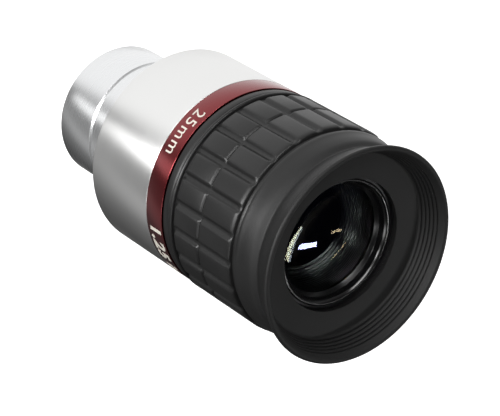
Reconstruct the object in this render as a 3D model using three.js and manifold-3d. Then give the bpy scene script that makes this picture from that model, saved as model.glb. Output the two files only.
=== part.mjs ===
// Telescope eyepiece of 25 mm focal length on a 1.25 inch nosepiece barrel, with a twist-up eyecup.
// Millimetres. The optical axis is Z, from the open end of the barrel at z = 0 up to the eye.
import * as THREE from "three";
import { mergeVertices } from "three/addons/utils/BufferGeometryUtils.js";
import Module from "manifold-3d";

const wasm = await Module();
wasm.setup();

// Clearances between pieces
const SEAT_GAP = 0.1; // along the axis, between faces that are clamped or stacked
const SCREW_GAP = 0.1; // round a screwed, pushed-in or stretched-on piece
const RUN_GAP = 0.1; // round the pieces that turn or slide on each other
const REVEAL = 0.35; // between the turning grip and the fixed band, and between grip and eyecup
const STOP_GAP = 0.3; // left between glide ring and stop ring with the eyecup right up

// Nosepiece barrel
const BARREL_R = 31.75 / 2;
const BARREL_LENGTH = 24.9; // what stands out of the body
const BARREL_CHAMFER = 0.7;
const UNDERCUT_START = 12.0;
const UNDERCUT_DEPTH = 0.45;
const BARREL_BORE_R = BARREL_R - 1.875;
const FILTER_SOCKET_R = BARREL_R - 1.625; // 28.5 mm across, for the M28.5 x 0.6 filter thread
const FILTER_SOCKET_DEPTH = 5.0;
const BARREL_SPIGOT_R = BARREL_R - 0.875;
const BARREL_SPIGOT_LENGTH = 6.5;

// Field stop, in the barrel
const FIELD_STOP_R = BARREL_BORE_R - 0.9;
const FIELD_STOP_Z = 18.0;
const FIELD_STOP_THICKNESS = 2.2;
const FIELD_STOP_EDGE = 0.4;

// Body housing and accent band
const BODY_R = 23.45;
const BODY_LENGTH = 21.2;
const BODY_CHAMFER = 0.45;
const BODY_FLOOR = 6.8; // wall that the barrel screws into
const BARREL_RECESS = 1.0; // shallow counterbore that takes the barrel's shoulder
const BAND_WIDTH = 5.6;
const BAND_CHAMFER = 0.25;

// Radii from the grip in to the lenses; each follows from the one outside it
const GRIP_R = BODY_R + 0.22;
const GRIP_WALL = 1.97;
const SLEEVE_R = GRIP_R - GRIP_WALL - SCREW_GAP;
const SLEEVE_WALL = 1.5;
const SLEEVE_BORE_R = SLEEVE_R - SLEEVE_WALL;
const COLLAR_HEIGHT = 2.2; // how far the threaded collar stands in from the sleeve's bore
const TUBE_R = SLEEVE_BORE_R - COLLAR_HEIGHT;
const LOWER_BORE_R = TUBE_R - 3.1;
const UPPER_BORE_R = TUBE_R - 3.6;

// Lens tube
const TUBE_SPIGOT_R = TUBE_R + 0.7; // screwed into the housing
const TUBE_FLANGE_R = TUBE_SPIGOT_R + 2.0; // clamps the band
const TUBE_FLANGE_THICKNESS = 1.3;
const TUBE_END_GAP = 0.3; // over the housing's floor, so that the flange seats first
const TUBE_NECK_R = UPPER_BORE_R + 0.8; // round the eye lens
const TUBE_NECK_LENGTH = 2.4;
const KEYWAY_WIDTH = 3.0;
const KEYWAY_DEPTH = 1.2;
const KEYWAY_AZIMUTH = 180;

// Lens stack: each lens is its edge thickness and how far each face bulges (negative is hollow)
const LENS_SEAT = 2.1; // flat ring round each curved face, on which rings, rib and spacers bear
const FIELD_RETAINER_THICKNESS = 3.0;
const FIELD_FLINT = { edge: 4.9, below: -0.6, above: -2.2 };
const FIELD_CROWN = { edge: 2.9, below: 2.2, above: 1.6 };
const FIELD_SPACER_LENGTH = 3.3;
const MIDDLE_LENS = { edge: 2.0, below: 1.4, above: 2.2 };
const RIB_R = LOWER_BORE_R - LENS_SEAT + SEAT_GAP;
const RIB_THICKNESS = 5.4;
const DOUBLET_CROWN = { edge: 3.5, below: 2.0, above: 3.0 };
const DOUBLET_FLINT = { edge: 5.8, below: -3.0, above: 0.4 };
const EYE_SPACER_LENGTH = 9.3;
const EYE_SPACER_THROAT_R = UPPER_BORE_R - 3.5; // narrow lower end of the cone inside it
const EYE_LENS = { edge: 3.1, below: 0.8, above: 1.1 };
const EYE_RETAINER_THICKNESS = 2.8;
const EYE_RETAINER_MOUTH_R = UPPER_BORE_R - 0.4;
const EYE_RETAINER_BORE_R = UPPER_BORE_R - 1.2;
const SPACER_WALL = 1.4;
const FIELD_LENS_HEIGHT = 3.0; // from the lower end of the tube to the lens stack's retainer

// Twist-up eyecup
const EYECUP_RISE = 8.0;
const COLLAR_LENGTH = 6.4; // the threaded part at the bottom of the sleeve
const GLIDE_GROOVE_DEPTH = 0.5;
const GLIDE_THICKNESS = 2.6;
const STOP_RING_R = SLEEVE_BORE_R - 0.5;
const STOP_RING_THICKNESS = 1.2;
const STOP_GROOVE_DEPTH = 1.1;
const STOP_RING_SPLIT = 4.0;
const CARRIER_HOLE_R = TUBE_NECK_R + RUN_GAP;
const CARRIER_R = SLEEVE_R - 0.6;
const CARRIER_THICKNESS = 2.4;
const CARRIER_ABOVE_TUBE = 0.55; // with the eyecup down
const CARRIER_SPIGOT_LENGTH = 3.8;
const CARRIER_SPIGOT_WALL = 1.4;

// Rubber grip
const GRIP_END_R = GRIP_R - 0.37; // plain ring below the lower bead
const GRIP_GROOVE_R = GRIP_R - 0.72;
const LOWER_BEAD_AT = 2.9; // from the bottom of the grip to the middle of the bead
const UPPER_BEAD_AT = 1.65; // from the top of the grip down to the middle of the bead
const BEAD_WIDTH = 1.1;
const BEAD_GROOVE_WIDTH = 0.6;
const BLOCK_COLUMNS = 24;
const COLUMN_START_DEG = 3.7; // where the middle of the first column lies
const AXIAL_GROOVE_WIDTH = 2.3;
const CROSS_GROOVE_WIDTH = 0.9;

// Rubber eyecup
const CUP_R = SLEEVE_R + 1.65; // at the bottom, next to the grip
const CUP_SHOULDER_R = CUP_R - 0.75;
const CUP_SHOULDER_HEIGHT = 5.0; // from the bottom of the cup
const CUP_NECK_R = CUP_R - 1.45;
const CUP_NECK_HEIGHT = 6.05;
const CUP_RIM_R = CUP_NECK_R + 2.5;
const CUP_SKIRT_LENGTH = 2.75; // what the cup laps over the sleeve
const CUP_FLOOR_DEPTH = 6.1; // from the rim down to the floor
const CUP_FLOOR_THICKNESS = 1.0;
const CUP_FLOOR_R = CUP_NECK_R - 0.9;
const CUP_HOLE_R = UPPER_BORE_R + 0.6;
const CUP_LIP = 1.3; // wall thickness at the rim

const SEGMENTS = 40;
const SPHERE_STEPS = 4;
const CUT_OVERRUN = 1; // how far a cutter runs past the face it opens

// The stack is built up from the lower end of the lens tube
const tubeBottom = BARREL_LENGTH + BODY_FLOOR + TUBE_END_GAP;
const fieldRetainerBottom = tubeBottom + FIELD_LENS_HEIGHT;
const fieldFlintBottom = fieldRetainerBottom + FIELD_RETAINER_THICKNESS + SEAT_GAP;
const fieldCrownBottom = fieldFlintBottom + FIELD_FLINT.edge + SEAT_GAP;
const fieldSpacerBottom = fieldCrownBottom + FIELD_CROWN.edge + SEAT_GAP;
const middleBottom = fieldSpacerBottom + FIELD_SPACER_LENGTH + SEAT_GAP;
const ribBottom = middleBottom + MIDDLE_LENS.edge + SEAT_GAP;
const ribTop = ribBottom + RIB_THICKNESS;
const doubletCrownBottom = ribTop + SEAT_GAP;
const doubletFlintBottom = doubletCrownBottom + DOUBLET_CROWN.edge + SEAT_GAP;
const eyeSpacerBottom = doubletFlintBottom + DOUBLET_FLINT.edge + SEAT_GAP;
const eyeLensBottom = eyeSpacerBottom + EYE_SPACER_LENGTH + SEAT_GAP;
const eyeRetainerBottom = eyeLensBottom + EYE_LENS.edge + SEAT_GAP;
const eyeRetainerTop = eyeRetainerBottom + EYE_RETAINER_THICKNESS;
const tubeTop = eyeRetainerTop - SEAT_GAP;

// Heights of the outside, from the body up to the rim
const housingTop = BARREL_LENGTH + BODY_LENGTH;
const bandTop = housingTop + SEAT_GAP + BAND_WIDTH;
const flangeTop = bandTop - SEAT_GAP;
const flangeBottom = flangeTop - TUBE_FLANGE_THICKNESS;
const sleeveBottom = bandTop + REVEAL;
const collarTop = sleeveBottom + COLLAR_LENGTH;
const glideBottom = collarTop + SEAT_GAP;
const glideTop = glideBottom + GLIDE_THICKNESS;
const stopBottom = glideTop + EYECUP_RISE + STOP_GAP;
const stopTop = stopBottom + STOP_RING_THICKNESS;
const carrierTop = tubeTop + CARRIER_ABOVE_TUBE;
const carrierBottom = carrierTop - CARRIER_THICKNESS;
const sleeveTop = carrierBottom - SEAT_GAP;
const cupBottom = sleeveTop - CUP_SKIRT_LENGTH;
const gripTop = cupBottom - REVEAL;
const cupFloorTop = carrierTop + SEAT_GAP + CUP_FLOOR_THICKNESS;
const rimTop = cupFloorTop + CUP_FLOOR_DEPTH;

// A turned piece from its section, a list of [radius, height] going round it anticlockwise.
function turned(section) {
  const outline = section.map(([r, z]) => new THREE.Vector2(r, z));
  const closesOnAxis = section[0][0] === 0 && section[section.length - 1][0] === 0;
  if (!closesOnAxis) outline.push(outline[0].clone());
  return new THREE.LatheGeometry(outline, SEGMENTS).rotateX(Math.PI / 2);
}

function solid(geometry) {
  const bare = geometry.index ? geometry.toNonIndexed() : geometry.clone();
  bare.deleteAttribute("normal");
  bare.deleteAttribute("uv");
  const merged = mergeVertices(bare, 1e-4);
  return new wasm.Manifold(
    new wasm.Mesh({
      numProp: 3,
      vertProperties: merged.attributes.position.array,
      triVerts: new Uint32Array(merged.index.array),
    }),
  );
}

function fromSolid(made) {
  const mesh = made.getMesh();
  const geometry = new THREE.BufferGeometry();
  geometry.setAttribute("position", new THREE.BufferAttribute(mesh.vertProperties, 3));
  geometry.setIndex(new THREE.BufferAttribute(mesh.triVerts, 1));
  geometry.computeVertexNormals();
  return geometry;
}

// A box standing on the axis' side: from radius inner to outer, from low to high, turned by an angle.
function radialBox(inner, outer, width, low, high, degrees) {
  return new THREE.BoxGeometry(outer - inner, width, high - low)
    .translate((inner + outer) / 2, 0, (low + high) / 2)
    .rotateZ(THREE.MathUtils.degToRad(degrees));
}

const chromedBrass = { color: 0xd9dcdd, roughness: 0.15, metalness: 1 };
const satinAluminium = { color: 0xcfd1d2, roughness: 0.38, metalness: 1 };
const redAnodised = { color: 0x5c1217, roughness: 0.35, metalness: 0.8 };
const blackAnodised = { color: 0x161617, roughness: 0.45, metalness: 0.6 };
const rubber = { color: 0x2b2c2c, roughness: 0.7, metalness: 0 };
const glass = { color: 0xdfe8e6, roughness: 0.03, metalness: 0, transparent: true, opacity: 0.35 };
const springSteel = { color: 0x8f9499, roughness: 0.3, metalness: 1 };
const acetal = { color: 0xe8e6df, roughness: 0.5, metalness: 0 };

function part(name, geometry, finish) {
  const mesh = new THREE.Mesh(geometry, new THREE.MeshStandardMaterial(finish));
  mesh.name = name;
  return mesh;
}

function nosepieceBarrel() {
  const undercutR = BARREL_R - UNDERCUT_DEPTH;
  const shoulder = BARREL_LENGTH + BARREL_RECESS - SEAT_GAP;
  const spigotTop = BARREL_LENGTH + BARREL_SPIGOT_LENGTH;
  const section = [
    [FILTER_SOCKET_R, 0],
    [BARREL_R - BARREL_CHAMFER, 0],
    [BARREL_R, BARREL_CHAMFER],
    [BARREL_R, UNDERCUT_START],
    [undercutR, UNDERCUT_START + UNDERCUT_DEPTH],
    [undercutR, shoulder],
    [BARREL_SPIGOT_R, shoulder],
    [BARREL_SPIGOT_R, spigotTop],
    [BARREL_BORE_R, spigotTop],
    [BARREL_BORE_R, FILTER_SOCKET_DEPTH],
    [FILTER_SOCKET_R, FILTER_SOCKET_DEPTH],
  ];
  return part("nosepiece_barrel", turned(section), chromedBrass);
}

function fieldStop() {
  const top = FIELD_STOP_Z + FIELD_STOP_THICKNESS;
  const outer = BARREL_BORE_R - SCREW_GAP;
  const section = [
    [FIELD_STOP_R, FIELD_STOP_Z],
    [outer, FIELD_STOP_Z],
    [outer, top],
    [(FIELD_STOP_R + outer) / 2, top],
    [FIELD_STOP_R, FIELD_STOP_Z + FIELD_STOP_EDGE],
  ];
  return part("field_stop", turned(section), blackAnodised);
}

function bodyHousing() {
  const floorTop = BARREL_LENGTH + BODY_FLOOR;
  const spigotHole = BARREL_SPIGOT_R + SCREW_GAP;
  const tubeHole = TUBE_SPIGOT_R + SCREW_GAP;
  const recessR = BARREL_R - UNDERCUT_DEPTH + SCREW_GAP;
  const recessTop = BARREL_LENGTH + BARREL_RECESS;
  const section = [
    [recessR, BARREL_LENGTH],
    [BODY_R - BODY_CHAMFER, BARREL_LENGTH],
    [BODY_R, BARREL_LENGTH + BODY_CHAMFER],
    [BODY_R, housingTop - BAND_CHAMFER],
    [BODY_R - BAND_CHAMFER, housingTop],
    [tubeHole, housingTop],
    [tubeHole, floorTop],
    [spigotHole, floorTop],
    [spigotHole, recessTop],
    [recessR, recessTop],
  ];
  return part("body_housing", turned(section), satinAluminium);
}

function accentBand() {
  const bottom = housingTop + SEAT_GAP;
  const hole = TUBE_SPIGOT_R + SCREW_GAP;
  const counterbore = TUBE_FLANGE_R + SCREW_GAP;
  const ledge = flangeBottom - SEAT_GAP;
  const section = [
    [hole, bottom],
    [BODY_R - BAND_CHAMFER, bottom],
    [BODY_R, bottom + BAND_CHAMFER],
    [BODY_R, bandTop - BAND_CHAMFER],
    [BODY_R - BAND_CHAMFER, bandTop],
    [counterbore, bandTop],
    [counterbore, ledge],
    [hole, ledge],
  ];
  return part("accent_band", turned(section), redAnodised);
}

function lensTube() {
  const shoulder = tubeTop - TUBE_NECK_LENGTH;
  const grooveR = TUBE_R - STOP_GROOVE_DEPTH;
  const section = [
    [LOWER_BORE_R, tubeBottom],
    [TUBE_SPIGOT_R, tubeBottom],
    [TUBE_SPIGOT_R, flangeBottom],
    [TUBE_FLANGE_R, flangeBottom],
    [TUBE_FLANGE_R, flangeTop],
    [TUBE_R, flangeTop],
    [TUBE_R, stopBottom - SEAT_GAP],
    [grooveR, stopBottom - SEAT_GAP],
    [grooveR, stopTop + SEAT_GAP],
    [TUBE_R, stopTop + SEAT_GAP],
    [TUBE_R, shoulder - (TUBE_R - TUBE_NECK_R)],
    [TUBE_NECK_R, shoulder],
    [TUBE_NECK_R, tubeTop],
    [UPPER_BORE_R, tubeTop],
    [UPPER_BORE_R, ribTop],
    [RIB_R, ribTop],
    [RIB_R, ribBottom],
    [LOWER_BORE_R, ribBottom],
  ];
  const keyway = radialBox(
    TUBE_R - KEYWAY_DEPTH,
    TUBE_R + KEYWAY_DEPTH,
    KEYWAY_WIDTH,
    glideBottom - SEAT_GAP,
    stopBottom,
    KEYWAY_AZIMUTH,
  );
  const cut = solid(turned(section)).subtract(solid(keyway));
  return part("lens_tube", fromSolid(cut), blackAnodised);
}

// Heights of a curved lens face above its flat rim, from the axis out to the rim.
function lensFace(rimR, bulge) {
  const sphereR = (rimR * rimR + bulge * bulge) / (2 * Math.abs(bulge));
  const points = [];
  for (let i = 0; i <= SPHERE_STEPS; i += 1) {
    const r = (rimR * i) / SPHERE_STEPS;
    const rise = Math.sqrt(sphereR * sphereR - r * r) - (sphereR - Math.abs(bulge));
    points.push([r, Math.sign(bulge) * rise]);
  }
  return points;
}

function lens(name, bottom, shape, boreR) {
  const edgeR = boreR - SCREW_GAP;
  const faceR = boreR - LENS_SEAT;
  const lower = lensFace(faceR, shape.below).map(([r, rise]) => [r, bottom - rise]);
  const upper = lensFace(faceR, shape.above).map(([r, rise]) => [r, bottom + shape.edge + rise]);
  const section = [...lower, [edgeR, bottom], [edgeR, bottom + shape.edge], ...upper.reverse()];
  return part(name, turned(section), glass);
}

function fieldLensRetainer() {
  const outer = LOWER_BORE_R - SCREW_GAP;
  const inner = LOWER_BORE_R - SPACER_WALL;
  const top = fieldRetainerBottom + FIELD_RETAINER_THICKNESS;
  const mouth = (inner + outer) / 2;
  const section = [
    [mouth, fieldRetainerBottom],
    [outer, fieldRetainerBottom],
    [outer, top],
    [inner, top],
    [inner, fieldRetainerBottom + FIELD_RETAINER_THICKNESS / 3],
  ];
  return part("field_lens_retainer", turned(section), blackAnodised);
}

function fieldSpacer() {
  const outer = LOWER_BORE_R - SCREW_GAP;
  const inner = LOWER_BORE_R - SPACER_WALL;
  const top = fieldSpacerBottom + FIELD_SPACER_LENGTH;
  const section = [
    [inner, fieldSpacerBottom],
    [outer, fieldSpacerBottom],
    [outer, top],
    [inner, top],
  ];
  return part("spacer_field", turned(section), blackAnodised);
}

function eyeSpacer() {
  const outer = UPPER_BORE_R - SCREW_GAP;
  const faceR = UPPER_BORE_R - LENS_SEAT;
  const top = eyeSpacerBottom + EYE_SPACER_LENGTH;
  const section = [
    [faceR + SEAT_GAP, eyeSpacerBottom],
    [outer, eyeSpacerBottom],
    [outer, top],
    [UPPER_BORE_R - SPACER_WALL, top],
    [EYE_SPACER_THROAT_R, eyeSpacerBottom + DOUBLET_FLINT.above + SEAT_GAP],
  ];
  return part("spacer_eye", turned(section), blackAnodised);
}

function eyeLensRetainer() {
  const outer = UPPER_BORE_R - SCREW_GAP;
  const faceR = UPPER_BORE_R - LENS_SEAT;
  const mouthDepth = EYE_RETAINER_MOUTH_R - EYE_RETAINER_BORE_R;
  const section = [
    [faceR + SEAT_GAP, eyeRetainerBottom],
    [outer, eyeRetainerBottom],
    [outer, eyeRetainerTop],
    [EYE_RETAINER_MOUTH_R, eyeRetainerTop],
    [EYE_RETAINER_BORE_R, eyeRetainerTop - mouthDepth],
    [EYE_RETAINER_BORE_R, eyeRetainerBottom + mouthDepth],
  ];
  return part("eye_lens_retainer", turned(section), blackAnodised);
}

function stopRing() {
  const inner = TUBE_R - STOP_GROOVE_DEPTH + SCREW_GAP;
  const section = [
    [inner, stopBottom],
    [STOP_RING_R, stopBottom],
    [STOP_RING_R, stopTop],
    [inner, stopTop],
  ];
  const split = radialBox(
    inner - CUT_OVERRUN,
    STOP_RING_R + CUT_OVERRUN,
    STOP_RING_SPLIT,
    stopBottom - CUT_OVERRUN,
    stopTop + CUT_OVERRUN,
    KEYWAY_AZIMUTH,
  );
  const cut = solid(turned(section)).subtract(solid(split));
  return part("stop_ring", fromSolid(cut), springSteel);
}

function glideRing() {
  const inner = TUBE_R + RUN_GAP;
  const outer = SLEEVE_BORE_R + GLIDE_GROOVE_DEPTH - RUN_GAP;
  const section = [
    [inner, glideBottom],
    [outer, glideBottom],
    [outer, glideTop],
    [inner, glideTop],
  ];
  const key = radialBox(
    TUBE_R - KEYWAY_DEPTH + RUN_GAP,
    (inner + outer) / 2,
    KEYWAY_WIDTH - 2 * RUN_GAP,
    glideBottom,
    glideTop,
    KEYWAY_AZIMUTH,
  );
  const joined = solid(turned(section)).add(solid(key));
  return part("glide_ring", fromSolid(joined), acetal);
}

function eyecupSleeve() {
  const collarR = TUBE_R + RUN_GAP;
  const grooveR = SLEEVE_BORE_R + GLIDE_GROOVE_DEPTH;
  const section = [
    [collarR, sleeveBottom],
    [SLEEVE_R, sleeveBottom],
    [SLEEVE_R, sleeveTop],
    [SLEEVE_BORE_R, sleeveTop],
    [SLEEVE_BORE_R, glideTop + SEAT_GAP],
    [grooveR, glideTop + SEAT_GAP],
    [grooveR, collarTop],
    [collarR, collarTop],
  ];
  return part("eyecup_sleeve", turned(section), blackAnodised);
}

function eyecupCarrier() {
  const spigotR = SLEEVE_BORE_R - SCREW_GAP;
  const spigotBottom = carrierBottom - CARRIER_SPIGOT_LENGTH;
  const section = [
    [spigotR - CARRIER_SPIGOT_WALL, spigotBottom],
    [spigotR, spigotBottom],
    [spigotR, carrierBottom],
    [CARRIER_R, carrierBottom],
    [CARRIER_R, carrierTop],
    [CARRIER_HOLE_R, carrierTop],
    [CARRIER_HOLE_R, carrierBottom],
    [spigotR - CARRIER_SPIGOT_WALL, carrierBottom],
  ];
  return part("eyecup_carrier", turned(section), blackAnodised);
}

// The outline of one bead and the two grooves beside it, going up.
function beadOutline(middle) {
  const half = BEAD_WIDTH / 2;
  const outside = half + BEAD_GROOVE_WIDTH;
  return [
    [GRIP_GROOVE_R, middle - outside + BEAD_GROOVE_WIDTH / 3],
    [GRIP_GROOVE_R, middle - half],
    [GRIP_R, middle - half / 2],
    [GRIP_R, middle + half / 2],
    [GRIP_GROOVE_R, middle + half],
    [GRIP_GROOVE_R, middle + outside - BEAD_GROOVE_WIDTH / 3],
  ];
}

function gripRubber() {
  const inner = SLEEVE_R + SCREW_GAP;
  const lowerBead = sleeveBottom + LOWER_BEAD_AT;
  const upperBead = gripTop - UPPER_BEAD_AT;
  const beadReach = BEAD_WIDTH / 2 + BEAD_GROOVE_WIDTH;
  const blocksBottom = lowerBead + beadReach;
  const blocksTop = upperBead - beadReach;
  const section = [
    [inner, sleeveBottom],
    [GRIP_END_R, sleeveBottom],
    [GRIP_END_R, lowerBead - beadReach],
    ...beadOutline(lowerBead),
    [GRIP_R, blocksBottom],
    [GRIP_R, blocksTop],
    ...beadOutline(upperBead),
    [GRIP_END_R, upperBead + beadReach],
    [GRIP_END_R, gripTop],
    [inner, gripTop],
  ];
  let made = solid(turned(section));
  const cutR = GRIP_R + CUT_OVERRUN;
  const pitch = 360 / BLOCK_COLUMNS;
  for (let i = 0; i < BLOCK_COLUMNS; i += 1) {
    const angle = COLUMN_START_DEG + (i + 0.5) * pitch;
    const groove = radialBox(GRIP_GROOVE_R, cutR, AXIAL_GROOVE_WIDTH, blocksBottom, blocksTop, angle);
    made = made.subtract(solid(groove));
  }
  const middle = (blocksBottom + blocksTop) / 2;
  const crossGroove = turned([
    [GRIP_GROOVE_R, middle - CROSS_GROOVE_WIDTH / 2],
    [cutR, middle - CROSS_GROOVE_WIDTH / 2],
    [cutR, middle + CROSS_GROOVE_WIDTH / 2],
    [GRIP_GROOVE_R, middle + CROSS_GROOVE_WIDTH / 2],
  ]);
  return part("grip_rubber", fromSolid(made.subtract(solid(crossGroove))), rubber);
}

function eyecupRubber() {
  const skirtR = SLEEVE_R + SCREW_GAP;
  const carrierR = CARRIER_R + SCREW_GAP;
  const floorBottom = cupFloorTop - CUP_FLOOR_THICKNESS;
  const section = [
    [skirtR, cupBottom],
    [CUP_R, cupBottom],
    [CUP_SHOULDER_R, cupBottom + CUP_SHOULDER_HEIGHT],
    [CUP_NECK_R, cupBottom + CUP_NECK_HEIGHT],
    [CUP_RIM_R, rimTop - CUP_LIP / 2],
    [CUP_RIM_R - CUP_LIP / 3, rimTop],
    [CUP_RIM_R - CUP_LIP, rimTop],
    [CUP_FLOOR_R, cupFloorTop],
    [CUP_HOLE_R, cupFloorTop],
    [CUP_HOLE_R, floorBottom],
    [carrierR, floorBottom],
    [carrierR, carrierBottom],
    [skirtR, carrierBottom],
  ];
  return part("eyecup_rubber", turned(section), rubber);
}

const fixed = new THREE.Group();
fixed.add(
  nosepieceBarrel(),
  fieldStop(),
  bodyHousing(),
  accentBand(),
  lensTube(),
  fieldLensRetainer(),
  lens("field_lens_flint", fieldFlintBottom, FIELD_FLINT, LOWER_BORE_R),
  lens("field_lens_crown", fieldCrownBottom, FIELD_CROWN, LOWER_BORE_R),
  fieldSpacer(),
  lens("middle_lens", middleBottom, MIDDLE_LENS, LOWER_BORE_R),
  lens("doublet_crown", doubletCrownBottom, DOUBLET_CROWN, UPPER_BORE_R),
  lens("doublet_flint", doubletFlintBottom, DOUBLET_FLINT, UPPER_BORE_R),
  eyeSpacer(),
  lens("eye_lens", eyeLensBottom, EYE_LENS, UPPER_BORE_R),
  eyeLensRetainer(),
  stopRing(),
);

const rising = new THREE.Group();
rising.add(glideRing());

const turning = new THREE.Group();
turning.add(eyecupSleeve(), eyecupCarrier(), gripRubber(), eyecupRubber());
rising.add(turning);

const eyepiece = new THREE.Group();
eyepiece.add(fixed, rising);

export default eyepiece;
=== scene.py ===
"""A 25 mm telescope eyepiece on a 1.25 inch barrel, built up from the barrel to the rubber eyecup."""

import math

import bpy
from mathutils import Matrix, Vector


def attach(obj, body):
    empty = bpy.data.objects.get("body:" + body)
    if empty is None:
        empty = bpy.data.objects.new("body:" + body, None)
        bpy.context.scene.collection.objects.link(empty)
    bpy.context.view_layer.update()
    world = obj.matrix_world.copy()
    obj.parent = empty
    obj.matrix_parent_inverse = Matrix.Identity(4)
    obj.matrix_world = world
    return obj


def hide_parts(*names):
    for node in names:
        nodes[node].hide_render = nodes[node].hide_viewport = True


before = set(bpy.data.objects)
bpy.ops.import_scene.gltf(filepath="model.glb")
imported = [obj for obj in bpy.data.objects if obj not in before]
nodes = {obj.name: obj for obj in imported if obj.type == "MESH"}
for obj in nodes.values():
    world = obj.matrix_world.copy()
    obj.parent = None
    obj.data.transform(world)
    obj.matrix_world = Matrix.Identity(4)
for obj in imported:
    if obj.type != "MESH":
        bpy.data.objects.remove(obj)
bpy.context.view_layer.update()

# Nosepiece barrel. Brass tube turned to 31.75 mm, polished and chrome plated, with a safety undercut
# near the body and the filter thread cut inside its open end. It is screwed into the body.
MM = 0.001
FULL_TURN = 2 * math.pi
FINE_RING = 240


def turned(name, outline, steps=FINE_RING, closed=True):
    """Draws one side of a section in millimetres, radius and height, and spins it round the optical axis."""
    bpy.ops.object.select_all(action="DESELECT")
    (radius, height), later = outline[0], outline[1:]
    bpy.ops.mesh.primitive_plane_add(size=MM, location=(0, 0, 0))
    piece = bpy.context.object
    piece.name = name
    bpy.ops.object.mode_set(mode="EDIT")
    bpy.ops.mesh.select_mode(type="VERT")
    bpy.ops.mesh.merge(type="CENTER")
    bpy.ops.transform.translate(value=(radius * MM, 0, height * MM))
    for next_radius, next_height in later:
        step = ((next_radius - radius) * MM, 0, (next_height - height) * MM)
        bpy.ops.mesh.extrude_vertices_move(TRANSFORM_OT_translate={"value": step})
        radius, height = next_radius, next_height
    if closed:
        step = ((outline[0][0] - radius) * MM, 0, (outline[0][1] - height) * MM)
        bpy.ops.mesh.extrude_vertices_move(TRANSFORM_OT_translate={"value": step})
    bpy.ops.mesh.select_all(action="SELECT")
    bpy.ops.mesh.remove_doubles(threshold=0.001 * MM)
    bpy.ops.mesh.select_all(action="SELECT")
    bpy.ops.mesh.spin(steps=steps, angle=FULL_TURN, center=(0, 0, 0), axis=(0, 0, 1))
    bpy.ops.mesh.select_all(action="SELECT")
    bpy.ops.mesh.remove_doubles(threshold=0.001 * MM)
    bpy.ops.mesh.normals_make_consistent(inside=False)
    bpy.ops.object.mode_set(mode="OBJECT")
    return piece


def eased(piece, width, steps=2, sharper_than=25):
    """Breaks every edge of a turned piece, as a lathe tool or a mould does."""
    ease = piece.modifiers.new("ease", "BEVEL")
    ease.width = width * MM
    ease.segments = steps
    ease.limit_method = "ANGLE"
    ease.angle_limit = math.radians(sharper_than)
    bpy.context.view_layer.objects.active = piece
    bpy.ops.object.modifier_apply(modifier=ease.name)
    return piece


def smooth(piece, angle=35):
    bpy.ops.object.select_all(action="DESELECT")
    piece.select_set(True)
    bpy.context.view_layer.objects.active = piece
    bpy.ops.object.shade_smooth_by_angle(angle=math.radians(angle))
    return piece


def linear(hex_colour):
    """The linear colour of an sRGB hex value."""
    shades = [int(hex_colour[i : i + 2], 16) / 255 for i in (0, 2, 4)]
    return [s / 12.92 if s <= 0.04045 else ((s + 0.055) / 1.055) ** 2.4 for s in shades] + [1]


def add(tree, kind, inputs={}, **settings):
    """Adds a node with its settings; an input is a value, or the output of another node."""
    node = tree.nodes.new("ShaderNode" + kind)
    for key, value in settings.items():
        setattr(node, key, value)
    for key, value in inputs.items():
        if isinstance(value, bpy.types.NodeSocket):
            tree.links.new(value, node.inputs[key])
        else:
            node.inputs[key].default_value = value
    return node


def finish_called(name, inputs):
    """A material with one Principled shader, and the values that are the same all over set on it."""
    finish = bpy.data.materials.new(name)
    finish.use_nodes = True
    shader = finish.node_tree.nodes["Principled BSDF"]
    for key, value in inputs.items():
        shader.inputs[key].default_value = value
    return finish, finish.node_tree, shader


def tool_marks(tree, spacing, strength, distance):
    """The fine rings a lathe tool leaves: noise that changes along the axis and hardly at all round it."""
    place = add(tree, "TexCoord")
    squeeze = add(tree, "Mapping", {"Vector": place.outputs["Object"], "Scale": (12, 12, 1000 / spacing)})
    noise = add(tree, "TexNoise", {"Vector": squeeze.outputs[0], "Scale": 1.0, "Detail": 3.0, "Roughness": 0.6})
    bump = add(tree, "Bump", {"Height": noise.outputs[0], "Strength": strength, "Distance": distance * MM})
    return noise, bump


def wear(piece, finish):
    piece.data.materials.clear()
    piece.data.materials.append(finish)
    return piece


def fitted(piece, body, slot, *replaced):
    """Puts a finished piece on its body and hides the CAD nodes it stands for."""
    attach(piece, body)
    if replaced:
        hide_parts(*replaced)


# Chrome plate over polished brass: a soft mirror with a trace of the polishing, so it shows blurred bands of the
# room and no sharp picture of it.
chrome, tree, shader = finish_called(
    "chrome_plated_brass", {"Base Color": linear("EDEEEF"), "Metallic": 1.0, "Roughness": 0.27, "Anisotropic": 0.3}
)
noise, bump = tool_marks(tree, 0.25, 0.03, 0.008)
tree.links.new(bump.outputs[0], shader.inputs["Normal"])
around = add(tree, "Tangent", direction_type="RADIAL", axis="Z")
tree.links.new(around.outputs[0], shader.inputs["Tangent"])
worn = add(tree, "MapRange", {"Value": noise.outputs[0], "To Min": 0.25, "To Max": 0.29})
tree.links.new(worn.outputs[0], shader.inputs["Roughness"])

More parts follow.
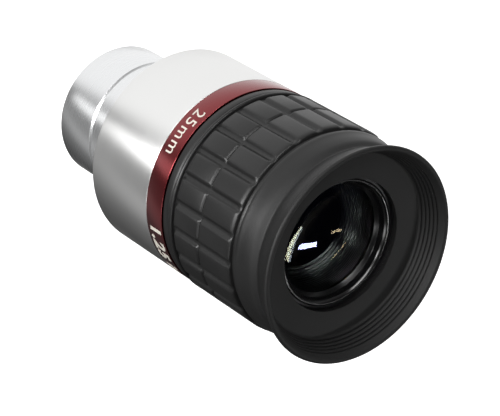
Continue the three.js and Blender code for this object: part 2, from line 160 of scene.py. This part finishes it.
BARREL_R = 15.875
BARREL_TOP = 24.9
SPIGOT_TOP = 31.4
UNDERCUT_R = 15.425
UNDERCUT_START = 12.0
THREAD_TURNS = 7
FILTER_R = 14.25
THREAD_PITCH = 0.6
THREAD_DEPTH = 0.2
filter_thread = []
for turn in range(THREAD_TURNS):
    low = 0.35 + turn * THREAD_PITCH
    filter_thread += [(FILTER_R, low), (FILTER_R + THREAD_DEPTH, low + THREAD_PITCH / 2)]
barrel = turned(
    "barrel",
    [(14.65, 0.0), (15.3, 0.0), (15.68, 0.12), (BARREL_R, 0.55), (BARREL_R, UNDERCUT_START), (BARREL_R - 0.04, 12.05)]
    + [(UNDERCUT_R + 0.04, 12.42), (UNDERCUT_R, 12.5), (UNDERCUT_R, BARREL_TOP + 0.9), (15.0, BARREL_TOP + 0.9)]
    + [(15.0, SPIGOT_TOP), (14.0, SPIGOT_TOP), (14.0, 5.0), (FILTER_R, 4.9)]
    + filter_thread[::-1],
)
smooth(eased(barrel, 0.05), 30)
fitted(wear(barrel, chrome), "root", "chromed_brass", "nosepiece_barrel")

# Field stop. Black anodised aluminium ring with a sharp edge, held in the barrel by its own thread; it limits
# the field of view. The anodising is matt, so the inside of the barrel stays dark.
black, tree, shader = finish_called(
    "black_anodised_aluminium", {"Base Color": linear("0E0E0F"), "Roughness": 0.42, "Specular IOR Level": 0.3}
)
noise, bump = tool_marks(tree, 0.2, 0.25, 0.02)
tree.links.new(bump.outputs[0], shader.inputs["Normal"])
tone = add(tree, "Mix", {"Factor": noise.outputs[0], "A": linear("08080A"), "B": linear("131314")}, data_type="RGBA")
tree.links.new(tone.outputs["Result"], shader.inputs["Base Color"])
stop = turned("field_stop_ring", [(13.1, 18.0), (13.9, 18.0), (13.9, 20.2), (13.5, 20.2), (13.1, 18.3)])
smooth(eased(stop, 0.03))
fitted(wear(stop, black), "root", "black_anodised", "field_stop")

# Body housing. Aluminium bar turned on a lathe, satin blasted and clear anodised; the barrel screws into its
# floor and the lens tube into its top. Its edges are cut with a small bright chamfer.
satin, tree, shader = finish_called(
    "satin_turned_aluminium",
    {
        "Base Color": linear("EFEFEE"),
        "Metallic": 1.0,
        "Roughness": 0.3,
        "Anisotropic": 0.6,
        "Anisotropic Rotation": 0.25,
    },
)
noise, bump = tool_marks(tree, 0.18, 0.12, 0.012)
tree.links.new(bump.outputs[0], shader.inputs["Normal"])
around = add(tree, "Tangent", direction_type="RADIAL", axis="Z")
tree.links.new(around.outputs[0], shader.inputs["Tangent"])
worn = add(tree, "MapRange", {"Value": noise.outputs[0], "To Min": 0.25, "To Max": 0.36})
tree.links.new(worn.outputs[0], shader.inputs["Roughness"])

BODY_R = 23.45
BODY_TOP = 46.1
housing = turned(
    "body",
    [(15.525, BARREL_TOP), (22.95, BARREL_TOP), (BODY_R - 0.06, BARREL_TOP + 0.38), (BODY_R, BARREL_TOP + 0.55)]
    + [(BODY_R, BODY_TOP - 0.1), (BODY_R - 0.08, BODY_TOP), (18.7, BODY_TOP), (18.7, 31.7), (15.1, 31.7)]
    + [(15.1, BARREL_TOP + 1.0), (15.525, BARREL_TOP + 1.0)],
)
smooth(eased(housing, 0.035), 30)
fitted(wear(housing, satin), "root", "satin_aluminium", "body_housing")

# Accent band. Aluminium ring anodised a deep red and clamped under the lens tube's flange. The dye is dark
# where it reflects little, and the clear oxide on it hazes over towards the light.
red, tree, shader = finish_called(
    "red_anodised_aluminium",
    {
        "Base Color": linear("802026"),
        "Metallic": 1.0,
        "Roughness": 0.24,
        "Coat Weight": 0.7,
        "Coat Roughness": 0.2,
        "Coat IOR": 1.5,
    },
)
noise, bump = tool_marks(tree, 0.2, 0.08, 0.01)
tree.links.new(bump.outputs[0], shader.inputs["Normal"])
tone = add(tree, "Mix", {"Factor": noise.outputs[0], "A": linear("771A1F"), "B": linear("89252B")}, data_type="RGBA")
tree.links.new(tone.outputs["Result"], shader.inputs["Base Color"])

BAND_BOTTOM = 46.2
BAND_TOP = 51.8
band = turned(
    "red_band",
    [(18.7, BAND_BOTTOM), (BODY_R - 0.08, BAND_BOTTOM), (BODY_R, BAND_BOTTOM + 0.08), (BODY_R, BAND_TOP - 0.07)]
    + [(BODY_R - 0.07, BAND_TOP), (20.7, BAND_TOP), (20.7, 50.3), (18.7, 50.3)],
)
smooth(eased(band, 0.025), 30)
fitted(wear(band, red), "root", "red_anodised", "accent_band")

# Markings on the band: the focal length, and the barrel's size further round, printed in an off-white ink
# that stands a few hundredths of a millimetre proud.
ink, tree, shader = finish_called("white_marking_ink", {"Base Color": linear("BEB9AF"), "Roughness": 0.55})
place = add(tree, "TexCoord")
speck = add(tree, "TexNoise", {"Vector": place.outputs["Object"], "Scale": 6000.0, "Detail": 2.0})
tone = add(tree, "Mix", {"Factor": speck.outputs[0], "A": linear("B4B0A6"), "B": linear("C8C3B9")}, data_type="RGBA")
tree.links.new(tone.outputs["Result"], shader.inputs["Base Color"])
INK_THICKNESS = 0.03


def marking(name, words, height, middle_angle, spacing, bold=0.0):
    """Sets words in a plain letter, makes them a mesh, and wraps that round the band."""
    bpy.ops.object.select_all(action="DESELECT")
    bpy.ops.object.text_add(location=(0, 0, 0))
    piece = bpy.context.object
    piece.name = name
    text = piece.data
    text.body = words
    text.size = height * MM / 0.7
    text.align_x = "CENTER"
    text.align_y = "CENTER"
    text.space_character = spacing
    text.offset = bold * MM
    text.extrude = INK_THICKNESS / 2 * MM
    text.resolution_u = 6
    bpy.ops.object.convert(target="MESH")
    piece = bpy.context.object
    bpy.ops.object.mode_set(mode="EDIT")
    bpy.ops.mesh.select_all(action="SELECT")
    bpy.ops.mesh.remove_doubles(threshold=0.002 * MM)
    bpy.ops.mesh.quads_convert_to_tris()
    bpy.ops.mesh.subdivide(number_cuts=2)
    bpy.ops.object.mode_set(mode="OBJECT")
    band_middle = (BAND_BOTTOM + BAND_TOP) / 2 * MM
    for vertex in piece.data.vertices:
        along, up, out = vertex.co
        angle = math.radians(middle_angle) + along / (BODY_R * MM)
        radius = (BODY_R + INK_THICKNESS / 2) * MM + out
        vertex.co = (radius * math.cos(angle), radius * math.sin(angle), band_middle + up)
    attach(wear(piece, ink), "root")


marking("focal_length_marking", "25mm", 3.0, -98.0, 1.16, 0.01)
marking("barrel_size_marking", "1.25 in", 3.6, -24.0, 1.12, 0.2)

# Lens tube. Black anodised aluminium cell screwed into the body, with the coarse thread that the eyecup
# climbs; only its top edge shows, round the eye lens.
tube = turned(
    "lens_cell",
    [(14.8, 32.0), (18.6, 32.0), (18.6, 50.4), (20.6, 50.4), (20.6, 51.7), (17.9, 51.7), (17.9, 69.45)]
    + [(16.8, 69.45), (16.8, 70.85), (17.9, 70.85), (17.9, 76.7), (15.1, 79.5), (15.1, 81.9), (14.3, 81.9)]
    + [(14.3, 57.0), (12.8, 57.0), (12.8, 51.6), (14.8, 51.6)],
    steps=120,
)
smooth(eased(tube, 0.08))
fitted(wear(tube, black), "root", "black_anodised", "lens_tube")

# Lenses. Optical glass, ground and polished to spheres with an anti-reflection coat on every face, and the
# edges ground and blacked. Each drops into the tube against the rib or a spacer.
glass, tree, shader = finish_called(
    "coated_optical_glass",
    {
        "Base Color": linear("F4FAF6"),
        "Roughness": 0.0,
        "IOR": 1.6,
        "Transmission Weight": 1.0,
        "Thin Film Thickness": 120.0,
        "Thin Film IOR": 1.38,
    },
)
place = add(tree, "TexCoord")
dust = add(tree, "TexNoise", {"Vector": place.outputs["Object"], "Scale": 900.0, "Detail": 4.0, "Roughness": 0.7})
film = add(tree, "MapRange", {"Value": dust.outputs[0], "From Min": 0.62, "From Max": 0.8, "To Max": 0.02})
tree.links.new(film.outputs[0], shader.inputs["Roughness"])
LENS_SEAT = 2.1
LENS_RING = 120
FACE_STEPS = 14
LOWER_BORE_R = 14.8
UPPER_BORE_R = 14.3


def lens(name, bottom, edge, below, above, bore, node):
    """A lens from its edge thickness and the bulge of each face, between flat seats."""
    edge_radius = bore - 0.1
    face_radius = bore - LENS_SEAT

    def face(bulge):
        sphere = (face_radius**2 + bulge**2) / (2 * abs(bulge))
        radii = [face_radius * i / FACE_STEPS for i in range(FACE_STEPS + 1)]
        return [(r, math.copysign(math.sqrt(sphere**2 - r**2) - sphere + abs(bulge), bulge)) for r in radii]

    low = [(r, bottom - rise) for r, rise in face(below)]
    high = [(r, bottom + edge + rise) for r, rise in face(above)]
    side = [(edge_radius, bottom), (edge_radius, bottom + edge)]
    piece = turned(name, low + side + high[::-1], LENS_RING, closed=False)
    smooth(piece, 20)
    fitted(wear(piece, glass), "root", "coated_glass", node)


lens("field_flint", 38.1, 4.9, -0.6, -2.2, LOWER_BORE_R, "field_lens_flint")
lens("field_crown", 43.1, 2.9, 2.2, 1.6, LOWER_BORE_R, "field_lens_crown")
lens("middle_element", 49.5, 2.0, 1.4, 2.2, LOWER_BORE_R, "middle_lens")
lens("upper_crown", 57.1, 3.5, 2.0, 3.0, UPPER_BORE_R, "doublet_crown")
lens("upper_flint", 60.7, 5.8, -3.0, 0.4, UPPER_BORE_R, "doublet_flint")
lens("top_lens", 76.0, 3.1, 0.8, 1.1, UPPER_BORE_R, "eye_lens")

# Rings and spacers between the lenses. Turned aluminium, black anodised; the long one under the eye lens is a
# cone cut with a fine baffle thread that swallows stray light, and the one above it has a polished inner lip.
HIDDEN_RING = 120
field_ring = turned(
    "field_retaining_ring",
    [(14.05, 35.0), (14.7, 35.0), (14.7, 38.0), (13.4, 38.0), (13.4, 36.0)],
    HIDDEN_RING,
)
smooth(eased(field_ring, 0.06))
fitted(wear(field_ring, black), "root", "black_anodised", "field_lens_retainer")
field_spacer = turned("field_spacer_ring", [(13.4, 46.1), (14.7, 46.1), (14.7, 49.4), (13.4, 49.4)], HIDDEN_RING)
smooth(eased(field_spacer, 0.06))
fitted(wear(field_spacer, black), "root", "black_anodised", "spacer_field")

BAFFLE_PITCH = 0.55
BAFFLE_DEPTH = 0.22
cone_bottom, cone_top = (10.9, 67.2), (12.85, 75.9)
turns = int((cone_top[1] - cone_bottom[1]) / BAFFLE_PITCH)
baffle = []
for turn in range(turns):
    share = turn / turns
    radius = cone_bottom[0] + share * (cone_top[0] - cone_bottom[0])
    height = cone_bottom[1] + share * (cone_top[1] - cone_bottom[1])
    baffle += [(radius, height), (radius + BAFFLE_DEPTH, height + BAFFLE_PITCH * 0.45)]
cone = turned(
    "baffle_cone",
    [(12.3, 66.6), (14.2, 66.6), (14.2, 75.9), (12.9, 75.9)] + baffle[::-1],
    180,
)
smooth(cone, 15)
fitted(wear(cone, black), "root", "black_anodised", "spacer_eye")

# The retaining ring is cut with a finer tool before it is anodised, so its chamfers shine.
gloss_black, tree, shader = finish_called(
    "bright_black_anodised_aluminium", {"Base Color": linear("0A0A0B"), "Roughness": 0.2, "IOR": 1.55}
)
noise, bump = tool_marks(tree, 0.15, 0.1, 0.006)
tree.links.new(bump.outputs[0], shader.inputs["Normal"])
worn = add(tree, "MapRange", {"Value": noise.outputs[0], "To Min": 0.16, "To Max": 0.24})
tree.links.new(worn.outputs[0], shader.inputs["Roughness"])
retainer = turned(
    "eye_retaining_ring",
    [(12.3, 79.25), (14.2, 79.25), (14.2, 82.0), (13.75, 82.0), (13.2, 81.45), (13.15, 81.35), (13.15, 79.85)],
)
smooth(eased(retainer, 0.05))
fitted(wear(retainer, gloss_black), "root", "black_anodised", "eye_lens_retainer")

# Inside the eyecup: a spring steel snap ring above its travel, and the acetal ring it turns on. These two keep
# their machined shapes and are given their finishes. The turned aluminium sleeve and carrier hold the rubber.
steel, tree, shader = finish_called(
    "bright_spring_steel", {"Base Color": linear("B9BCBF"), "Metallic": 1.0, "Roughness": 0.3}
)
noise, bump = tool_marks(tree, 0.3, 0.1, 0.01)
tree.links.new(bump.outputs[0], shader.inputs["Normal"])
wear(nodes["stop_ring"], steel)
acetal, tree, shader = finish_called(
    "natural_acetal", {"Base Color": linear("E9E6DC"), "Roughness": 0.45, "IOR": 1.48, "Subsurface Weight": 0.05}
)
noise, bump = tool_marks(tree, 0.3, 0.15, 0.015)
tree.links.new(bump.outputs[0], shader.inputs["Normal"])
wear(nodes["glide_ring"], acetal)

sleeve = turned(
    "eyecup_inner_sleeve",
    [(18.0, 52.15), (21.6, 52.15), (21.6, 79.95), (20.1, 79.95), (20.1, 61.35), (20.6, 61.35), (20.6, 58.55)]
    + [(18.0, 58.55)],
    HIDDEN_RING,
)
smooth(eased(sleeve, 0.1))
fitted(wear(sleeve, black), "eyecup", "black_anodised", "eyecup_sleeve")
carrier = turned(
    "eyecup_carrier_ring",
    [(18.6, 76.25), (20.0, 76.25), (20.0, 80.05), (21.0, 80.05), (21.0, 82.45), (15.2, 82.45), (15.2, 80.05)]
    + [(18.6, 80.05)],
    HIDDEN_RING,
)
smooth(eased(carrier, 0.1))
fitted(wear(carrier, black), "eyecup", "black_anodised", "eyecup_carrier")

# Grip. Rubber moulded over the sleeve: a plain end ring, a bead, twenty-four columns of raised blocks split
# across the middle, and a second bead. The mould leaves soft edges and a fine matt skin.
grip_skin, tree, shader = finish_called(
    "moulded_grip_rubber", {"Base Color": linear("121212"), "Roughness": 0.38, "IOR": 1.5, "Specular IOR Level": 0.42}
)
place = add(tree, "TexCoord")
grain = add(tree, "TexNoise", {"Vector": place.outputs["Object"], "Scale": 5200.0, "Detail": 3.0, "Roughness": 0.6})
cloud = add(tree, "TexNoise", {"Vector": place.outputs["Object"], "Scale": 160.0, "Detail": 3.0})
bump = add(tree, "Bump", {"Height": grain.outputs[0], "Strength": 0.25, "Distance": 0.03 * MM})
tree.links.new(bump.outputs[0], shader.inputs["Normal"])
tone = add(tree, "Mix", {"Factor": cloud.outputs[0], "A": linear("0E0E0E"), "B": linear("151515")}, data_type="RGBA")
tree.links.new(tone.outputs["Result"], shader.inputs["Base Color"])
worn = add(tree, "MapRange", {"Value": cloud.outputs[0], "To Min": 0.32, "To Max": 0.44})
tree.links.new(worn.outputs[0], shader.inputs["Roughness"])

GRIP_BOTTOM = 52.15
GRIP_TOP = 76.85
GRIP_R = 23.67
GRIP_END_R = 23.3
FLOOR_R = 22.95
BEAD_HALF = 0.55
LOWER_BEAD = 55.05
COLUMNS = 24
COLUMN_MIDDLE = 3.7
CROSS_GROOVE = 65.1
# Up the blocks: height, how far the block stands out there, and how far the groove beside it is filled in.
rows = [(56.2, 0, 0), (56.38, 0.5, 0), (56.62, 0.88, 0), (57.0, 1, 0)]
rows += [(CROSS_GROOVE + up, out, 0) for up, out in ((-0.7, 1), (-0.48, 0.9), (-0.14, 0.25), (0.14, 0.25))]
rows += [(CROSS_GROOVE + up, out, 0) for up, out in ((0.48, 0.9), (0.7, 1))]
rows += [(74.3, 1, 0), (74.85, 1, 0.2), (75.3, 0.93, 0.45), (75.65, 0.74, 0.55), (75.9, 0.42, 0.6), (76.0, 0, 0)]
STEPS_A_DEGREE = 2
BEAD_STEPS = 8
SHARE_STEPS = 40
# Across a block, by half degrees from its middle: how much of its height is left as its side falls away.
SIDE = {9: 0.98, 10: 0.92, 11: 0.7, 12: 0.4, 13: 0.12, 14: 0.0, 15: 0.0}


def bead(middle):
    """A half-round bead between two narrow grooves, going up."""
    points = []
    for i in range(BEAD_STEPS + 1):
        turn = math.radians(-90 + 180 * i / BEAD_STEPS)
        points.append((FLOOR_R + (GRIP_R - FLOOR_R) * math.cos(turn), middle + BEAD_HALF * math.sin(turn)))
    return points


grip = turned(
    "rubber_grip",
    [(21.7, GRIP_BOTTOM), (GRIP_END_R - 0.25, GRIP_BOTTOM), (GRIP_END_R - 0.07, GRIP_BOTTOM + 0.07)]
    + [(GRIP_END_R, GRIP_BOTTOM + 0.25), (GRIP_END_R + 0.05, LOWER_BEAD - 1.05)]
    + [(GRIP_END_R - 0.03, LOWER_BEAD - 0.85), (FLOOR_R + 0.05, LOWER_BEAD - 0.65)]
    + bead(LOWER_BEAD)
    + [(FLOOR_R, height) for height, out, filled in rows]
    + [(FLOOR_R - 0.25, rows[-1][0] + 0.12), (FLOOR_R - 0.3, GRIP_TOP - 0.2), (FLOOR_R - 0.4, GRIP_TOP)]
    + [(21.7, GRIP_TOP)],
    steps=360 * STEPS_A_DEGREE,
)
grip.rotation_euler.z = math.radians(COLUMN_MIDDLE % (1 / STEPS_A_DEGREE))
bpy.ops.object.transform_apply(location=False, rotation=True, scale=False)

# Each point on a block is drawn out by its share of the block's height, one share at a time.
raised = {}
for vertex in grip.data.vertices:
    place = vertex.co / MM
    if math.hypot(place.x, place.y) < FLOOR_R - 0.01:
        continue
    for height, out, filled in rows:
        if abs(place.z - height) < 0.01 and out:
            turned_by = math.degrees(math.atan2(place.y, place.x))
            off_column = (turned_by - COLUMN_MIDDLE + 180 / COLUMNS) % (360 / COLUMNS)
            side = SIDE.get(round(abs(off_column - 180 / COLUMNS) * STEPS_A_DEGREE), 1.0)
            share = out * (side + filled * (1 - side))
            raised.setdefault(round(share * SHARE_STEPS) / SHARE_STEPS, []).append(vertex.index)
for share, points in raised.items():
    bpy.ops.object.mode_set(mode="EDIT")
    bpy.ops.mesh.select_mode(type="VERT")
    bpy.ops.mesh.select_all(action="DESELECT")
    bpy.ops.object.mode_set(mode="OBJECT")
    for point in points:
        grip.data.vertices[point].select = True
    bpy.ops.object.mode_set(mode="EDIT")
    wider = 1 + share * (GRIP_R - FLOOR_R) / FLOOR_R
    bpy.ops.transform.resize(value=(wider, wider, 1), center_override=(0, 0, 0))
    bpy.ops.object.mode_set(mode="OBJECT")
smooth(grip, 50)
fitted(wear(grip, grip_skin), "eyecup", "grip_rubber", "grip_rubber")

# Eyecup. Softer rubber stretched over the carrier: a plain barrel, a neck, a flare to a rounded lip, and five
# fine rings moulded inside the flare above a flat floor round the eye lens.
cup_skin, tree, shader = finish_called(
    "moulded_cup_rubber", {"Base Color": linear("101010"), "Roughness": 0.36, "IOR": 1.5, "Specular IOR Level": 0.42}
)
place = add(tree, "TexCoord")
grain = add(tree, "TexNoise", {"Vector": place.outputs["Object"], "Scale": 6000.0, "Detail": 3.0, "Roughness": 0.6})
cloud = add(tree, "TexNoise", {"Vector": place.outputs["Object"], "Scale": 110.0, "Detail": 3.0})
bump = add(tree, "Bump", {"Height": grain.outputs[0], "Strength": 0.2, "Distance": 0.025 * MM})
tree.links.new(bump.outputs[0], shader.inputs["Normal"])
tone = add(tree, "Mix", {"Factor": cloud.outputs[0], "A": linear("0C0C0C"), "B": linear("131313")}, data_type="RGBA")
tree.links.new(tone.outputs["Result"], shader.inputs["Base Color"])
surface = add(tree, "NewGeometry")
facing = add(tree, "SeparateXYZ", {"Vector": surface.outputs["Normal"]})
upward = add(tree, "MapRange", {"Value": facing.outputs["Z"], "From Min": 0.05, "From Max": 0.35, "To Max": 0.26})
worn = add(tree, "MapRange", {"Value": cloud.outputs[0], "To Min": 0.32, "To Max": 0.42})
matt = add(tree, "Math", {0: worn.outputs[0], 1: upward.outputs[0]}, operation="ADD")
tree.links.new(matt.outputs[0], shader.inputs["Roughness"])

CUP_BOTTOM = 77.2
CUP_FLOOR = 83.55
RIM_TOP = 89.65
RIM_R = 24.29
outside = [(21.7, CUP_BOTTOM), (23.0, CUP_BOTTOM), (23.18, CUP_BOTTOM + 0.12), (23.24, CUP_BOTTOM + 0.4)]
outside += [(23.12, 78.2), (22.99, 79.0), (22.9, 79.9), (22.79, 80.7), (22.66, 81.5), (22.5, 82.2), (22.28, 82.65)]
outside += [(22.0, 83.0), (21.83, 83.35), (21.86, 83.7), (22.1, 84.3), (22.5, 85.25), (22.95, 86.3), (23.35, 87.3)]
outside += [(23.75, 88.2), (24.12, 88.85)]
lip = []
LIP_HALF = 0.65
LIP_RISE = 0.55
LIP_STEPS = 8
for i in range(LIP_STEPS + 1):
    turn = math.radians(-25 + 180 * i / LIP_STEPS)
    lip.append((RIM_R - LIP_HALF + LIP_HALF * math.cos(turn), RIM_TOP - LIP_RISE + LIP_RISE * math.sin(turn)))
inside = []
RIDGES = 5
RIDGE_STEPS = 6
RIDGE_HEIGHT = 0.13
wall_top, wall_bottom = (22.72, 88.6), (21.15, 84.1)
for ridge in range(RIDGES):
    for i in range(RIDGE_STEPS):
        share = (ridge + i / RIDGE_STEPS) / RIDGES
        bulge = RIDGE_HEIGHT * abs(math.sin(math.pi * i / RIDGE_STEPS))
        radius = wall_top[0] + share * (wall_bottom[0] - wall_top[0]) - bulge
        inside.append((radius, wall_top[1] + share * (wall_bottom[1] - wall_top[1])))
inside += [wall_bottom, (20.95, 83.75), (20.7, CUP_FLOOR + 0.03), (20.4, CUP_FLOOR), (15.05, CUP_FLOOR)]
inside += [(14.93, CUP_FLOOR - 0.05), (14.9, CUP_FLOOR - 0.15), (14.9, 82.6), (14.95, 82.55), (21.1, 82.55)]
inside += [(21.1, 80.05), (21.7, 80.05)]
cup = turned("rubber_eyecup", outside + lip + inside)
smooth(cup, 40)
fitted(wear(cup, cup_skin), "eyecup", "cup_rubber", "eyecup_rubber")

# Stage: a plain pale floor that the eyepiece stands on, clear when it is looked at from underneath.
bpy.ops.object.select_all(action="DESELECT")
bpy.ops.mesh.primitive_plane_add(size=60, location=(0, 0, -0.0002))
floor = bpy.context.object
floor.name = "floor"
paper, tree, shader = finish_called("pale_paper", {"Base Color": (0.9, 0.9, 0.9, 1), "Roughness": 0.9})
shader.inputs["Emission Color"].default_value = (1, 1, 1, 1)
shader.inputs["Emission Strength"].default_value = 0.9
wear(floor, paper)
side = add(tree, "NewGeometry")
clear = add(tree, "BsdfTransparent")
from_above = add(tree, "MixShader", {"Fac": side.outputs["Backfacing"], 1: shader.outputs[0], 2: clear.outputs[0]})
tree.links.new(from_above.outputs[0], tree.nodes["Material Output"].inputs["Surface"])
floor.visible_glossy = False
floor.visible_diffuse = False
floor.visible_transmission = False
floor.visible_shadow = False

# Light: a tent that is bright on one side and dim on the other and fades upwards, with six softboxes placed by
# trial for the reflections they give. They aren't a record of any real lighting.
world = bpy.data.worlds.new("light_tent")
bpy.context.scene.world = world
world.use_nodes = True
tree = world.node_tree
place = add(tree, "TexCoord")
split = add(tree, "SeparateXYZ", {"Vector": place.outputs["Generated"]})
flat = add(tree, "CombineXYZ", {"X": split.outputs["X"], "Y": split.outputs["Y"], "Z": 0.0})
level = add(tree, "VectorMath", {0: flat.outputs[0]}, operation="NORMALIZE")


def lobe(azimuth, full_within, gone_by, strength):
    """Light from round one azimuth: full near it and gone past a wider angle."""
    towards = (math.cos(math.radians(azimuth)), math.sin(math.radians(azimuth)), 0)
    facing = add(tree, "VectorMath", {0: level.outputs[0], 1: towards}, operation="DOT_PRODUCT")
    return add(
        tree,
        "MapRange",
        {
            "Value": facing.outputs["Value"],
            "From Min": math.cos(math.radians(gone_by)),
            "From Max": math.cos(math.radians(full_within)),
            "To Min": 0.0,
            "To Max": strength,
        },
        interpolation_type="SMOOTHSTEP",
    ).outputs[0]


lobes = [lobe(177, 81, 111, 0.95), lobe(-26, 6, 22, 0.1), lobe(-10, 6, 17, 0.2), lobe(-20, 20, 70, 0.08)]
total = 0.05
for each in lobes:
    total = add(tree, "Math", {0: each, 1: total}, operation="ADD").outputs[0]
fade = add(
    tree,
    "MapRange",
    {"Value": split.outputs["Z"], "From Min": 0.05, "From Max": 0.48, "To Min": 1.0, "To Max": 0.04},
)
total = add(tree, "Math", {0: total, 1: fade.outputs[0]}, operation="MULTIPLY").outputs[0]
# A device for the picture, not a property of the object: a ray that has passed through glass sees a dark world,
# so that the tent doesn't glow through the lenses.
ray = add(tree, "LightPath")
through = add(tree, "Math", {0: 1.0, 1: ray.outputs["Is Transmission Ray"]}, operation="SUBTRACT")
total = add(tree, "Math", {0: total, 1: through.outputs[0]}, operation="MULTIPLY").outputs[0]
background = tree.nodes["Background"]
tree.links.new(total, background.inputs["Strength"])
background.inputs["Color"].default_value = (1, 1, 1, 1)


def softbox(name, place_mm, aim_mm, width, height, watts, along=(0, 0, 1)):
    """A rectangular softbox that faces a point on the eyepiece, with its height along a direction."""
    light = bpy.data.lights.new(name, "AREA")
    light.shape = "RECTANGLE"
    light.size = width * MM
    light.size_y = height * MM
    light.energy = watts
    lamp = bpy.data.objects.new(name, light)
    bpy.context.scene.collection.objects.link(lamp)
    lamp.location = Vector(place_mm) * MM
    away = (Vector(place_mm) - Vector(aim_mm)).normalized()
    side = Vector(along).cross(away).normalized()
    lamp.rotation_euler = Matrix((side, away.cross(side), away)).transposed().to_euler()
    lamp.visible_camera = False


STRIP_AWAY = 400
EYE_END = (0, 0, 80)


def strip(name, azimuth, middle, width, height, watts):
    """An upright softbox to one side of the eyepiece."""
    turn = math.radians(azimuth)
    place = (STRIP_AWAY * math.cos(turn), STRIP_AWAY * math.sin(turn), middle)
    softbox(name, place, (0, 0, middle), width, height, watts)


strip("strip_softbox", -71, 145, 100, 450, 2.3)
strip("low_strip_softbox", -66, -545, 105, 750, 0.33)
softbox("top_softbox", (-240, -400, 460), EYE_END, 90, 460, 1.6, along=(0.86, -0.5, 0))
softbox("side_softbox", (367, -212, 345), EYE_END, 130, 130, 0.3)
softbox("lens_softbox", (52, 367, 548), EYE_END, 20, 84, 0.45, along=(-0.07, 0.10, -0.07))
softbox("edge_softbox", (-24, 245, 585), EYE_END, 6, 150, 0.15, along=(1, -0.2, 0.15))

# Camera at the eye end, looking down at the standing eyepiece and rolled on its side.
lens_body = bpy.data.cameras.new("camera")
camera = bpy.data.objects.new("camera", lens_body)
bpy.context.scene.collection.objects.link(camera)
lens_body.lens = 158.4
lens_body.sensor_width = 36
camera.location = (3.311 * MM, -334.414 * MM, 393.470 * MM)
camera.rotation_mode = "ZYX"
camera.rotation_euler = (math.radians(44.63), 0, math.radians(121.67))
lens_body.clip_end = 100
bpy.context.scene.camera = camera
bpy.context.scene.view_settings.view_transform = "Standard"
